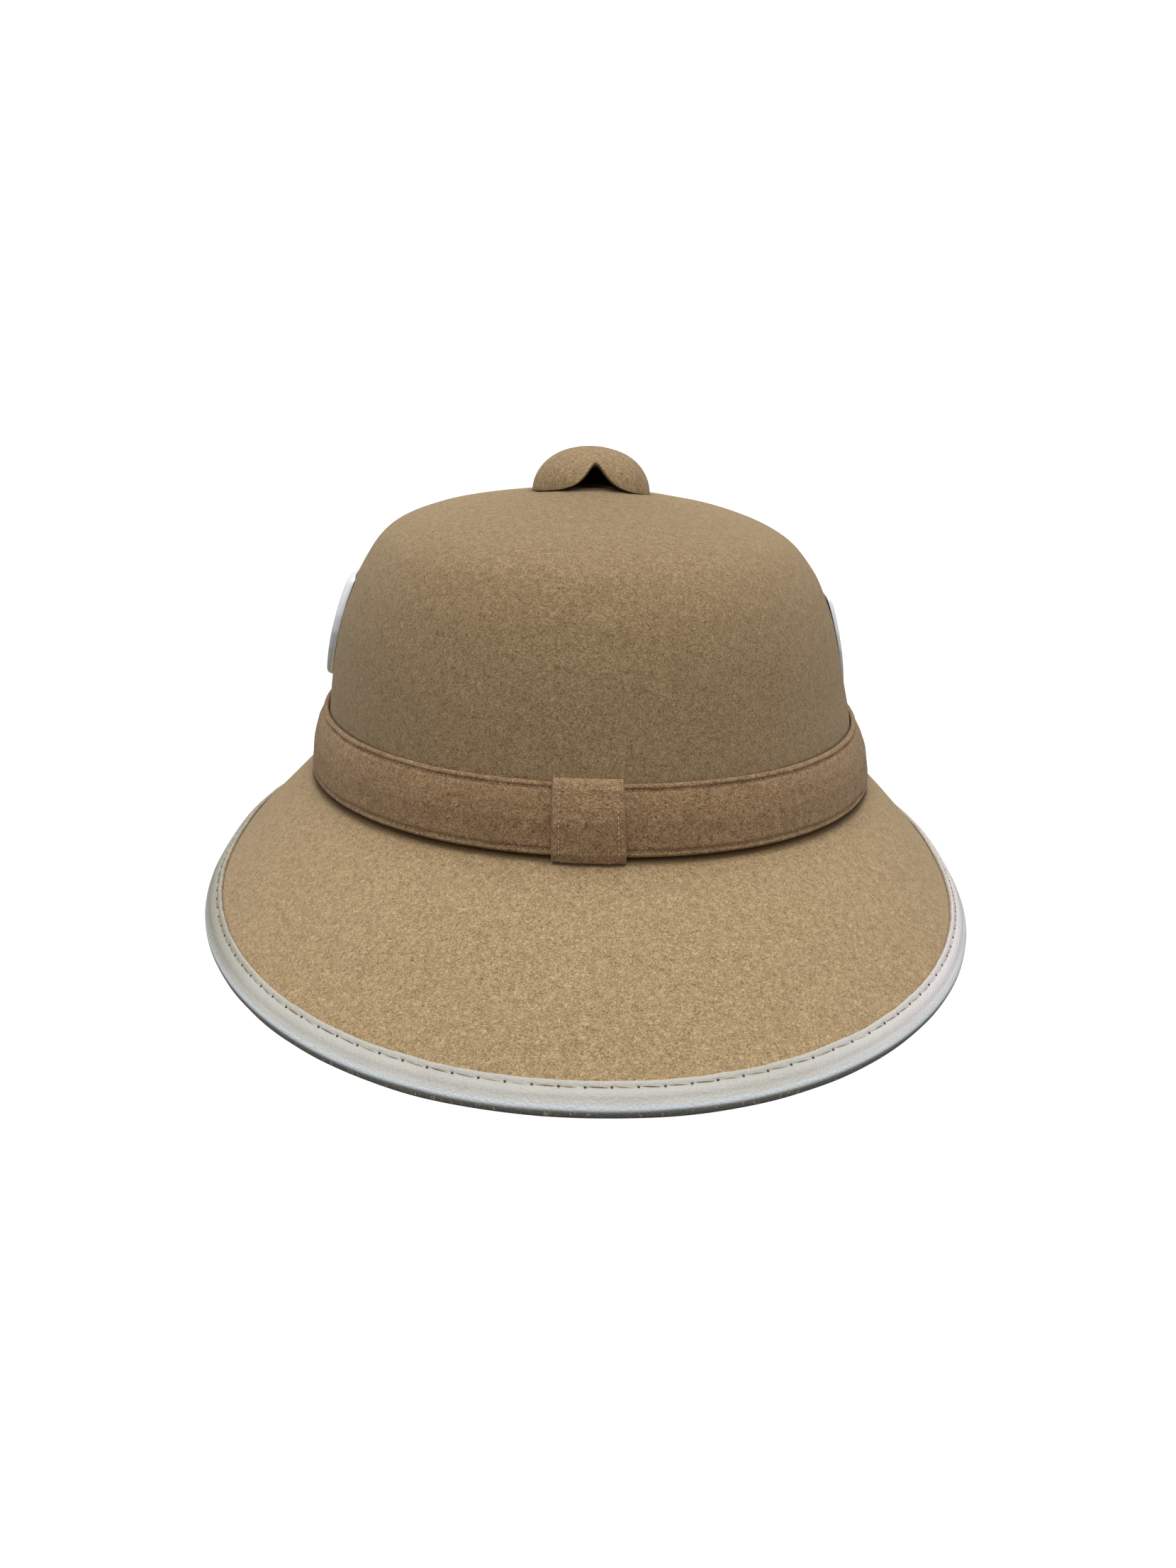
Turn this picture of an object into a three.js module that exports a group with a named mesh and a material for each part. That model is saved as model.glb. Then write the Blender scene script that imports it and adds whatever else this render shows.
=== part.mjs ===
// A felt sun helmet in the pith helmet shape: a one piece felt shell with a domed crown and a sloping brim,
// a felt hood over the vent hole in the top, a felt band with a keeper round the foot of the crown,
// a leather binding folded round the brim's edge, and a plain metal shield on each side.
// Millimetres, +Z up. It stands on its binding and faces -Y, and the origin is on the ground under its middle.
import * as THREE from "three";

// Felt shell
const feltThickness = 3;
const crownHalfWidth = 87.4;
const crownHalfLength = 102.6;
const crownSquareness = 2.1;
const crownTop = 139;
const creaseHeightFront = 50.1;
const creaseHeightSide = 50.8;
const creaseHeightRear = 52;
const brimFrontReach = 165.8;
const brimRearReach = 156.1;
const brimHalfWidth = 120.4;
const brimSquareness = 2.38;
const brimSideRise = 11.6;
const brimSideRisePower = 1.5;
const brimBow = 0.12;
const creaseSoftness = 4.5;
const ventHoleRadius = 6;

// Leather binding on the brim's edge
const leatherThickness = 1;
const bindingWidth = 5.6;

// Felt band and its keeper
const bandFootFront = 49;
const bandFootSide = 48.6;
const bandFootRear = 51;
const bandHeight = 20;
const bandThickness = 3.2;
const bandFullness = 0.9;
const bandFootThickness = 1.8;
const keeperWidth = 20.5;
const keeperThickness = 1.7;
const keeperOverhang = 1.2;
const keeperTopCover = 0.8;
const keeperTuckOut = 0.64;
const keeperHemThickness = 0.7;

// Vent hood
const hoodRadius = 19.2;
const hoodHeight = 11.6;
const hoodThickness = 2.2;
const hoodSetBack = 8;
const hoodArchHeight = 7.9;
const hoodArchHalfWidth = 3.9;
const hoodArchTurn = THREE.MathUtils.degToRad(5);
const hoodArchSharpness = 2.4;

// Side shields
const shieldHeight = 34;
const shieldWidth = 31;
const shieldThickness = 2.2;
const shieldTopLeft = 109.4;
const shieldTopRight = 105.8;

// Fits
const seatGap = 0.3;
const bandSeatGap = 0.45;

// How finely round forms are cut into facets
const anglesAround = 64;
const anglesHood = 32;

// Steps for slopes taken by difference, and halvings for places found by search
const slopeStep = 0.004;
const halvings = 30;

const crownCentreY = (brimFrontReach - brimRearReach) / 2;
const noseRadius = feltThickness / 2 + seatGap + leatherThickness;
const restFacetHalfAngle = THREE.MathUtils.degToRad(15);
const brimEdgeHeight = noseRadius * Math.cos(restFacetHalfAngle);

// Crown sections from the crease up. rise is a share of the height from crease to top, half and long are shares
// of the crown's half width and half length, and sway is the sideways lean as a share of its half width.
const crownSections = [
  { rise: 0.0, half: 1.0, long: 1.0, sway: 0.0 },
  { rise: 0.1174, half: 0.985, long: 0.988, sway: 0.005 },
  { rise: 0.2348, half: 0.97, long: 0.974, sway: 0.01 },
  { rise: 0.3229, half: 0.955, long: 0.96, sway: 0.016 },
  { rise: 0.4599, half: 0.928, long: 0.934, sway: 0.022 },
  { rise: 0.5969, half: 0.887, long: 0.896, sway: 0.025 },
  { rise: 0.7241, half: 0.828, long: 0.842, sway: 0.028 },
  { rise: 0.8317, half: 0.733, long: 0.754, sway: 0.038 },
  { rise: 0.9021, half: 0.56, long: 0.6, sway: 0.052 },
  { rise: 0.9471, half: 0.34, long: 0.38, sway: 0.044 },
];
const apexSway = 0.03;

// Band section: height is a share of the band's height, out of its thickness and full of its fullness
const bandFace = [
  { height: 0.0, out: 0.72, full: 0.9 },
  { height: 0.05, out: 0.98, full: 1.0 },
  { height: 0.14, out: 1.0, full: 1.0 },
  { height: 0.5, out: 1.0, full: 0.95 },
  { height: 0.72, out: 0.9, full: 0.4 },
  { height: 0.88, out: 0.62, full: 0.1 },
  { height: 1.0, out: 0.36, full: 0.0 },
];

const lerp = THREE.MathUtils.lerp;

function signedPower(value, power) {
  return Math.sign(value) * Math.abs(value) ** power;
}

// A value that goes from front to side to rear round the helmet. Angle 0 is the front, a quarter turn is +X.
function aroundValue(angle, front, side, rear, power = 2) {
  const end = Math.cos(angle) > 0 ? front : rear;
  return end + (side - end) * Math.abs(Math.sin(angle)) ** power;
}

// A point of an egg shaped plan curve about the crown's centre
function oval(angle, half, front, rear, squareness) {
  const side = signedPower(Math.sin(angle), 2 / squareness);
  const ahead = signedPower(Math.cos(angle), 2 / squareness);
  return new THREE.Vector2(half * side, crownCentreY - (ahead > 0 ? front : rear) * ahead);
}

// The rows of a table, run through smoothly. Position counts rows from 0.
function smoothRow(rows, position) {
  const last = rows.length - 1;
  const index = THREE.MathUtils.clamp(Math.floor(position), 0, last - 1);
  const f = position - index;
  const row = (k) => rows[THREE.MathUtils.clamp(k, 0, last)];
  const mixed = {};
  for (const name of Object.keys(rows[0])) {
    const [a, b, c, d] = [-1, 0, 1, 2].map((k) => row(index + k)[name]);
    mixed[name] = b + 0.5 * f * (c - a + f * (2 * a - 5 * b + 4 * c - d + f * (3 * (b - c) + d - a)));
  }
  return mixed;
}

function creaseHeight(angle) {
  return aroundValue(angle, creaseHeightFront, creaseHeightSide, creaseHeightRear);
}

// The crown's rows, ending in the rim of the vent hole
const crownRows = [
  ...crownSections,
  { rise: 1, half: ventHoleRadius / crownHalfWidth, long: ventHoleRadius / crownHalfLength, sway: apexSway },
];

// The felt's outer face on the crown. climb is 0 at the crease and 1 at the vent hole.
function crownPoint(angle, climb) {
  const row = smoothRow(crownRows, climb * (crownRows.length - 1));
  const half = row.half * crownHalfWidth;
  const long = row.long * crownHalfLength;
  const plan = oval(angle, half, long, long, crownSquareness);
  const z = lerp(creaseHeight(angle), crownTop, row.rise);
  return new THREE.Vector3(plan.x - row.sway * crownHalfWidth, plan.y, z);
}

// The felt's outer face on the brim. reach is 0 at the crease and 1 at the felt's edge.
function brimPoint(angle, reach) {
  const foot = crownPoint(angle, 0);
  const edge = oval(angle, brimHalfWidth, brimFrontReach, brimRearReach, brimSquareness);
  const edgeHeight = brimEdgeHeight + aroundValue(angle, 0, brimSideRise, 0, brimSideRisePower);
  const width = Math.hypot(edge.x - foot.x, edge.y - foot.y);
  let topEdge = edgeHeight;
  for (let i = 0; i < 3; i += 1) {
    const slope = Math.atan2((foot.z - topEdge) * (1 + brimBow), width);
    topEdge = edgeHeight + (feltThickness / 2) * Math.cos(slope);
  }
  const fall = reach - brimBow * reach * (1 - reach);
  const z = lerp(foot.z, topEdge, fall);
  return new THREE.Vector3(lerp(foot.x, edge.x, reach), lerp(foot.y, edge.y, reach), z);
}

// The whole outer face. along runs from -1 at the vent hole through 0 at the crease to 1 at the felt's edge.
const softShare = {
  crown: creaseSoftness / (crownTop - creaseHeightFront),
  brim: creaseSoftness / (brimFrontReach - crownHalfLength),
};

function outerPoint(angle, along) {
  if (along <= -softShare.crown) return crownPoint(angle, -along);
  if (along >= softShare.brim) return brimPoint(angle, along);
  const share = (along + softShare.crown) / (softShare.crown + softShare.brim);
  const start = crownPoint(angle, softShare.crown);
  const end = brimPoint(angle, softShare.brim);
  const corner = crownPoint(angle, 0);
  const first = start.lerp(corner, share);
  const second = corner.clone().lerp(end, share);
  return first.lerp(second, share);
}

// The outward direction square to the felt, and the direction down the slope
function outerFrame(angle, along) {
  const point = outerPoint(angle, along);
  const around = outerPoint(angle + slopeStep, along).sub(outerPoint(angle - slopeStep, along));
  const down = outerPoint(angle, along + slopeStep).sub(outerPoint(angle, along - slopeStep));
  const normal = new THREE.Vector3().crossVectors(down, around).normalize();
  const slope = new THREE.Vector3().crossVectors(around, normal).normalize();
  return { point, normal, slope };
}

function offsetPoint(angle, along, distance) {
  const { point, normal } = outerFrame(angle, along);
  return point.addScaledVector(normal, distance);
}

// Angles round the helmet, with the front and the rear in the middle of a facet
function roundAngles(count) {
  return Array.from({ length: count }, (_, k) => ((k + 0.5) * 2 * Math.PI) / count);
}

function spread(from, to, count) {
  return Array.from({ length: count }, (_, k) => lerp(from, to, k / (count - 1)));
}

// A closed mesh from points and quads or triangles, with its faces turned outward
function closedGeometry(points, faces) {
  const triangles = faces.flatMap((f) => (f.length === 4 ? [[f[0], f[1], f[2]], [f[0], f[2], f[3]]] : [f]));
  let volume = 0;
  for (const [a, b, c] of triangles) {
    volume += points[a].dot(new THREE.Vector3().crossVectors(points[b], points[c]));
  }
  const index = triangles.flatMap(([a, b, c]) => (volume > 0 ? [a, b, c] : [a, c, b]));
  const geometry = new THREE.BufferGeometry();
  const coordinates = points.flatMap((p) => [p.x, p.y, p.z]);
  geometry.setAttribute("position", new THREE.Float32BufferAttribute(coordinates, 3));
  geometry.setIndex(index);
  return geometry;
}

// A solid swept right round: closed rings of equal length, the last joined to the first
function ringSolid(rings) {
  const count = rings[0].length;
  const faces = [];
  rings.forEach((_, i) => {
    const next = (i + 1) % rings.length;
    for (let j = 0; j < count; j += 1) {
      const k = (j + 1) % count;
      faces.push([i * count + j, i * count + k, next * count + k, next * count + j]);
    }
  });
  return closedGeometry(rings.flat(), faces);
}

// A sheet with two faces: grids of equal size, joined round their edge
function sheetSolid(front, back) {
  const rows = front.length;
  const columns = front[0].length;
  const at = (side, i, j) => side * rows * columns + i * columns + j;
  const faces = [];
  for (let i = 0; i < rows - 1; i += 1) {
    for (let j = 0; j < columns - 1; j += 1) {
      faces.push([at(0, i, j), at(0, i, j + 1), at(0, i + 1, j + 1), at(0, i + 1, j)]);
      faces.push([at(1, i, j), at(1, i + 1, j), at(1, i + 1, j + 1), at(1, i, j + 1)]);
    }
  }
  for (let i = 0; i < rows - 1; i += 1) {
    faces.push([at(0, i, 0), at(0, i + 1, 0), at(1, i + 1, 0), at(1, i, 0)]);
    const j = columns - 1;
    faces.push([at(0, i, j), at(1, i, j), at(1, i + 1, j), at(0, i + 1, j)]);
  }
  for (let j = 0; j < columns - 1; j += 1) {
    faces.push([at(0, 0, j), at(1, 0, j), at(1, 0, j + 1), at(0, 0, j + 1)]);
    const i = rows - 1;
    faces.push([at(0, i, j), at(0, i, j + 1), at(1, i, j + 1), at(1, i, j)]);
  }
  return closedGeometry([...front.flat(), ...back.flat()], faces);
}

// A bowl with a pole on each face: rings from the pole to the hem
function bowlSolid(outer, inner) {
  const count = outer.rings[0].length;
  const rows = outer.rings.length;
  const points = [outer.pole, inner.pole, ...outer.rings.flat(), ...inner.rings.flat()];
  const at = (side, i, j) => 2 + side * rows * count + i * count + (j % count);
  const faces = [];
  for (let j = 0; j < count; j += 1) {
    faces.push([0, at(0, 0, j), at(0, 0, j + 1)]);
    faces.push([1, at(1, 0, j + 1), at(1, 0, j)]);
    for (let i = 0; i < rows - 1; i += 1) {
      faces.push([at(0, i, j), at(0, i + 1, j), at(0, i + 1, j + 1), at(0, i, j + 1)]);
      faces.push([at(1, i, j), at(1, i, j + 1), at(1, i + 1, j + 1), at(1, i + 1, j)]);
    }
    faces.push([at(0, rows - 1, j), at(1, rows - 1, j), at(1, rows - 1, j + 1), at(0, rows - 1, j + 1)]);
  }
  return closedGeometry(points, faces);
}

const feltColour = new THREE.MeshStandardMaterial({ color: 0x8d7859, roughness: 0.95, metalness: 0 });
const bandColour = new THREE.MeshStandardMaterial({ color: 0x7f664c, roughness: 0.95, metalness: 0 });
const leatherColour = new THREE.MeshStandardMaterial({ color: 0x9fa3a0, roughness: 0.5, metalness: 0 });
const shieldColour = new THREE.MeshStandardMaterial({ color: 0xc9d3d8, roughness: 0.4, metalness: 0.6 });

const helmet = new THREE.Group();

function addPiece(name, geometry, material) {
  const mesh = new THREE.Mesh(geometry, material);
  mesh.name = name;
  helmet.add(mesh);
}

// Felt shell: the outer face from the vent hole down the crown and out to the brim's edge, then back inside
function feltShell() {
  const crownSteps = spread(-1, -softShare.crown, 12);
  const creaseSteps = spread(-softShare.crown, softShare.brim, 8).slice(1);
  const brimSteps = spread(softShare.brim, 1, 5).slice(1);
  const steps = [...crownSteps, ...creaseSteps, ...brimSteps];
  const angles = roundAngles(anglesAround);
  const outer = steps.map((along) => angles.map((angle) => outerPoint(angle, along)));
  const inner = steps.map((along) => angles.map((angle) => offsetPoint(angle, along, -feltThickness)));
  return ringSolid([...outer, ...inner.reverse()]);
}

addPiece("felt_shell", feltShell(), feltColour);

// Leather binding: a strip folded round the felt's edge, one leg on each face and a round nose between them
function brimWidth(angle) {
  return brimPoint(angle, 1).distanceTo(brimPoint(angle, 0));
}

function bindingSection(angle) {
  const edge = outerFrame(angle, 1);
  const centre = edge.point.clone().addScaledVector(edge.normal, -feltThickness / 2);
  const legStart = 1 - bindingWidth / brimWidth(angle);
  const legMiddle = (1 + legStart) / 2;
  const near = seatGap;
  const far = seatGap + leatherThickness;
  const nose = (turn, radius) =>
    centre
      .clone()
      .addScaledVector(edge.slope, radius * Math.cos(turn))
      .addScaledVector(edge.normal, radius * Math.sin(turn));
  // Straight down, seen in the section: the nose has a flat there, on which the helmet stands
  const straightDown = Math.atan2(-edge.normal.z, -edge.slope.z);
  const outside = [
    Math.PI / 2,
    Math.PI / 4,
    0,
    straightDown + restFacetHalfAngle,
    straightDown - restFacetHalfAngle,
    -Math.PI / 2,
  ];
  const inside = feltThickness / 2 + seatGap;
  const pocket = (side) =>
    centre.clone().addScaledVector(edge.slope, seatGap).addScaledVector(edge.normal, side * inside);
  return [
    offsetPoint(angle, legStart, near),
    offsetPoint(angle, legStart, far),
    offsetPoint(angle, legMiddle, far),
    ...outside.map((turn) => nose(turn, noseRadius)),
    offsetPoint(angle, legMiddle, -feltThickness - far),
    offsetPoint(angle, legStart, -feltThickness - far),
    offsetPoint(angle, legStart, -feltThickness - near),
    offsetPoint(angle, legMiddle, -feltThickness - near),
    pocket(-1),
    pocket(1),
    offsetPoint(angle, legMiddle, near),
  ];
}

// A section swept round the helmet, as rings that each follow one corner of the section
function sweepSection(section, angles) {
  const sections = angles.map(section);
  return sections[0].map((_, corner) => sections.map((points) => points[corner]));
}

addPiece("brim_binding", ringSolid(sweepSection(bindingSection, roundAngles(anglesAround))), leatherColour);

// The crown's wall at a height, moved outward level. Below the crease it goes straight down.
function wallPoint(angle, height, out) {
  let low = 0;
  let high = 0.9;
  for (let i = 0; i < halvings; i += 1) {
    const middle = (low + high) / 2;
    if (crownPoint(angle, middle).z < height) low = middle;
    else high = middle;
  }
  const point = crownPoint(angle, low);
  const around = crownPoint(angle + slopeStep, low).sub(crownPoint(angle - slopeStep, low));
  const outward = new THREE.Vector3(around.y, -around.x, 0).normalize();
  point.z = height;
  return point.addScaledVector(outward, out);
}

// Where on the felt's outer face a height is passed
function alongAtHeight(angle, height) {
  let low = -0.9;
  let high = 1;
  for (let i = 0; i < halvings; i += 1) {
    const middle = (low + high) / 2;
    if (outerPoint(angle, middle).z > height) low = middle;
    else high = middle;
  }
  return low;
}

function bandFoot(angle) {
  return aroundValue(angle, bandFootFront, bandFootSide, bandFootRear);
}

function bandHeightAt(angle, height) {
  return bandFoot(angle) + height * bandHeight;
}

function bandPoint(angle, height, out) {
  return wallPoint(angle, bandHeightAt(angle, height), out);
}

function bandOut(row) {
  return seatGap + row.out * bandThickness + row.full * bandFullness;
}

// The band's back at a height: on the felt, wherever the wall turns into the brim
function bandBack(angle, height) {
  return offsetPoint(angle, alongAtHeight(angle, bandHeightAt(angle, height)), bandSeatGap);
}

// How high the band's foot has felt behind it, so that its edge keeps some thickness
function backFoot(angle) {
  const thinnest = bandOut(bandFace[0]) - bandFootThickness;
  let low = 0;
  let high = 0.6;
  for (let i = 0; i < halvings; i += 1) {
    const middle = (low + high) / 2;
    const back = bandBack(angle, middle);
    const standOff = back.distanceTo(wallPoint(angle, back.z, 0));
    if (standOff > thinnest) low = middle;
    else high = middle;
  }
  return high;
}

// Felt band: a folded strip that lies against the wall and comes out over the crease at its foot
function bandSection(angle) {
  const foot = backFoot(angle);
  const back = [1, 0.7, 0.45, 0.3, 0.18, 0.08, 0].map((share) => bandBack(angle, lerp(foot, 1, share)));
  return [...bandFace.map((row) => bandPoint(angle, row.height, bandOut(row))), ...back];
}

addPiece("band", ringSolid(sweepSection(bandSection, roundAngles(anglesAround))), bandColour);

// Keeper: a short felt strip over the join of the band at the front, turned in over the band's top edge
function keeper() {
  const across = keeperWidth / 2 / (crownHalfWidth + bandThickness);
  const halfAngle = Math.asin(across ** (crownSquareness / 2));
  const angles = spread(-halfAngle, halfAngle, 7);
  const overTop = keeperTopCover / bandHeight;
  const belowFoot = keeperOverhang / bandHeight;
  const clear = seatGap / bandHeight;
  const near = (row) => bandOut(row) + seatGap;
  const face = bandFace.slice(1, -1);
  const low = bandFace[0];
  const inside = (angle) => [
    bandPoint(angle, 1 + clear, seatGap),
    bandPoint(angle, 1 + clear, near(bandFace.at(-1))),
    ...face.toReversed().map((row) => bandPoint(angle, row.height, near(row))),
    bandPoint(angle, low.height - belowFoot, near(low) + keeperTuckOut),
  ];
  const outside = (angle) => [
    bandPoint(angle, 1 + clear + overTop, seatGap),
    bandPoint(angle, 1 + clear + overTop, near(bandFace.at(-1)) + keeperHemThickness),
    ...face.toReversed().map((row) => bandPoint(angle, row.height, near(row) + keeperThickness)),
    bandPoint(angle, low.height - belowFoot, near(low) + keeperTuckOut + keeperThickness),
  ];
  return sheetSolid(angles.map(inside), angles.map(outside));
}

addPiece("band_keeper", keeper(), bandColour);

// The crown's height near its top, under the hood
const hoodCentre = new THREE.Vector2(-apexSway * crownHalfWidth, crownCentreY + hoodSetBack);

function crownHeightAt(x, y) {
  let low = 0.5;
  let high = 1;
  for (let i = 0; i < halvings; i += 1) {
    const middle = (low + high) / 2;
    const row = smoothRow(crownRows, middle * (crownRows.length - 1));
    const across = Math.abs((x + row.sway * crownHalfWidth) / (row.half * crownHalfWidth));
    const ahead = Math.abs((y - crownCentreY) / (row.long * crownHalfLength));
    if (across ** crownSquareness + ahead ** crownSquareness < 1) low = middle;
    else high = middle;
  }
  const row = smoothRow(crownRows, low * (crownRows.length - 1));
  return lerp(creaseHeightSide, crownTop, row.rise);
}

// How far the hood's hem lifts at the front to let air through: a bell shaped arch that runs out at the sides
function hemLift(turn) {
  const fromArch = turn - hoodArchTurn;
  if (Math.cos(fromArch) <= 0) return 0;
  const bell = (across) => 1 / (1 + Math.abs(across / hoodArchHalfWidth) ** hoodArchSharpness);
  const atSide = bell(hoodRadius);
  return (hoodArchHeight * (bell(hoodRadius * Math.sin(fromArch)) - atSide)) / (1 - atSide);
}

// Vent hood: a felt cap over the vent hole. Its hem follows the crown's top, apart from the arch.
function hoodFace(radius, height) {
  const climbs = [0.14, 0.3, 0.46, 0.62, 0.78, 0.9, 1];
  const base = crownTop + seatGap;
  const ring = (share) =>
    roundAngles(anglesHood).map((turn) => {
      const hem = Math.acos(hemLift(turn) / hoodHeight);
      const out = radius * Math.sin(share * hem);
      const up = height * Math.cos(share * hem);
      const x = hoodCentre.x + out * Math.sin(turn);
      const y = hoodCentre.y - out * Math.cos(turn);
      const settle = (crownTop - crownHeightAt(x, y)) * (1 - up / height);
      return new THREE.Vector3(x, y, base + up - settle);
    });
  return { pole: new THREE.Vector3(hoodCentre.x, hoodCentre.y, base + height), rings: climbs.map(ring) };
}

const hoodOutside = hoodFace(hoodRadius, hoodHeight);
const hoodInside = hoodFace(hoodRadius - hoodThickness, hoodHeight - hoodThickness);
addPiece("vent_hood", bowlSolid(hoodOutside, hoodInside), feltColour);

// How far the crown's side stands out at a distance ahead of its middle and a height
function crownSideAt(side, ahead, height) {
  const rise = (height - creaseHeightSide) / (crownTop - creaseHeightSide);
  let low = 0;
  let high = crownRows.length - 1;
  for (let i = 0; i < halvings; i += 1) {
    const middle = (low + high) / 2;
    if (smoothRow(crownRows, middle).rise < rise) low = middle;
    else high = middle;
  }
  const row = smoothRow(crownRows, low);
  const share = Math.abs(ahead / (row.long * crownHalfLength)) ** crownSquareness;
  return row.half * crownHalfWidth * (1 - share) ** (1 / crownSquareness) - side * row.sway * crownHalfWidth;
}

// Side shields: plain plates with a flat top and sides that curve in to a point, bent to the crown's form.
// ahead is how far a plate sits in front of the crown's middle, and the gaps are behind its top and its foot.
const shields = [
  { name: "shield_left", side: -1, ahead: 3, top: shieldTopLeft, topGap: 0.3, footGap: 0.5 },
  { name: "shield_right", side: 1, ahead: -10, top: shieldTopRight, topGap: 0.9, footGap: 0.3 },
];
const shieldOutline = [
  { down: 0.0, half: 1.0 },
  { down: 0.15, half: 1.0 },
  { down: 0.35, half: 0.99 },
  { down: 0.52, half: 0.95 },
  { down: 0.68, half: 0.84 },
  { down: 0.82, half: 0.64 },
  { down: 0.93, half: 0.4 },
  { down: 1.0, half: 0.14 },
];

function shieldGeometry({ side, ahead, top, topGap, footGap }) {
  const face = (lift) =>
    shieldOutline.map((row) =>
      spread(-1, 1, 9).map((share) => {
        const forward = ahead + (share * row.half * shieldWidth) / 2;
        const height = top - row.down * shieldHeight;
        const gap = lerp(topGap, footGap, row.down);
        return new THREE.Vector3(
          side * (crownSideAt(side, forward, height) + gap + lift),
          crownCentreY - forward,
          height,
        );
      }),
    );
  return sheetSolid(face(0), face(shieldThickness));
}

shields.forEach((shield) => addPiece(shield.name, shieldGeometry(shield), shieldColour));

// The lowest facets of the binding are the ground, and the middle of the helmet is above the origin
const extent = new THREE.Box3().setFromObject(helmet);
const middle = extent.getCenter(new THREE.Vector3());
helmet.position.set(-middle.x, -middle.y, -extent.min.z);

export default helmet;
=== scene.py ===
import math

import bpy
import numpy as np
from mathutils import Matrix, Vector, noise


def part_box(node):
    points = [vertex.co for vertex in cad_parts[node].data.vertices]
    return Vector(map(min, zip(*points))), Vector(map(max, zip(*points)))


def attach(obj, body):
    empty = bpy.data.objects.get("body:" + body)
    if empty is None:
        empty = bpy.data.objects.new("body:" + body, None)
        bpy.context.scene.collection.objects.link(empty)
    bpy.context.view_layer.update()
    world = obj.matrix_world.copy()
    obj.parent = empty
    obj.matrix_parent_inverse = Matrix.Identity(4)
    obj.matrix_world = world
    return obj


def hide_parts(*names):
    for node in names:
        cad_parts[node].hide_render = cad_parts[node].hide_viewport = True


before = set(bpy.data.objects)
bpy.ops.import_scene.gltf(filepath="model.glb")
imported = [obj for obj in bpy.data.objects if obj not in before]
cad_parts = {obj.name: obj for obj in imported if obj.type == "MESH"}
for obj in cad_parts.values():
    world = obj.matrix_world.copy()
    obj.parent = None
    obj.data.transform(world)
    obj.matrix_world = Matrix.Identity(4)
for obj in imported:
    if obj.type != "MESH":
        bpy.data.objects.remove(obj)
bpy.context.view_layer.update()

# Studio: a white floor that runs out of sight, a wide soft light overhead, a weaker one from the front, and
# the camera a little above the brim. The surround gives a dim light low down and a bright one above. It is
# plain white to the camera, as the floor is, and nearly white in reflections.
MM = 0.001
WHITE = (1, 1, 1, 1)
camera_place = Vector((-2.26, -552.84, 203.05)) * MM
camera_right = Vector((0.99950, 0.00607, 0.03104))
camera_up = Vector((-0.03149, 0.28246, 0.95876))
camera_lens = 39.42
sensor_side = 36.0
floor_half = 6.0
floor_grey = (0.12, 0.12, 0.12, 1)
surround_low, surround_high = 0.3, 0.9
surround_from, surround_to = -0.1, 0.9
mirrored_white = 0.85

camera_data = bpy.data.cameras.new("camera")
camera = bpy.data.objects.new("camera", camera_data)
bpy.context.scene.collection.objects.link(camera)
bpy.context.scene.camera = camera
camera_back = camera_right.cross(camera_up).normalized()
camera_up = camera_back.cross(camera_right).normalized()
camera.matrix_world = Matrix.Translation(camera_place) @ Matrix(
    (camera_right.normalized(), camera_up, camera_back)
).transposed().to_4x4()
camera_data.sensor_fit = "VERTICAL"
camera_data.sensor_height = sensor_side
camera_data.lens = camera_lens
camera_data.clip_start = 0.01
camera_data.clip_end = 50


def adder(tree):
    """A function that adds a node to a tree, with settings by name and values or sockets for its inputs."""

    def add(kind, inputs=(), **settings):
        node = tree.nodes.new(kind)
        for name, value in settings.items():
            setattr(node, name, value)
        for name, value in dict(inputs).items():
            socket = node.inputs[name]
            if isinstance(value, bpy.types.NodeSocket):
                tree.links.new(value, socket)
            else:
                socket.default_value = value
        return node

    add.link = tree.links.new
    return add


def material(name):
    """A new material, its Principled shader and a function that adds nodes to it."""
    made = bpy.data.materials.new(name)
    made.use_nodes = True
    return made, made.node_tree.nodes["Principled BSDF"], adder(made.node_tree)


def span(add, value, low, high, to_low=0.0, to_high=1.0, **settings):
    """The output of a node that maps a value from one range to another and stops at both ends."""
    ends = {"From Min": low, "From Max": high, "To Min": to_low, "To Max": to_high}
    return add("ShaderNodeMapRange", {"Value": value, **ends}, **settings).outputs["Result"]


def worked(add, operation, *values, **settings):
    """The output of a math node over values or sockets."""
    return add("ShaderNodeMath", dict(enumerate(values)), operation=operation, **settings).outputs[0]


def area_light(name, place, target, size, power, colour):
    """A round soft light that faces its target."""
    data = bpy.data.lights.new(name, "AREA")
    data.shape = "DISK"
    data.size = size
    data.energy = power
    data.color = colour
    light = bpy.data.objects.new(name, data)
    bpy.context.scene.collection.objects.link(light)
    light.location = place
    light.rotation_euler = (Vector(target) - Vector(place)).to_track_quat("-Z", "Y").to_euler()


warm_white, cool_white = (1.0, 0.985, 0.96), (0.97, 0.985, 1.0)
area_light("overhead", (0.05, -0.25, 1.5), target=(0, 0, 0), size=1.5, power=14.0, colour=warm_white)
area_light("front", (-0.3, -1.7, 0.75), target=(0, 0, 0.06), size=1.1, power=1.5, colour=cool_white)

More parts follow.
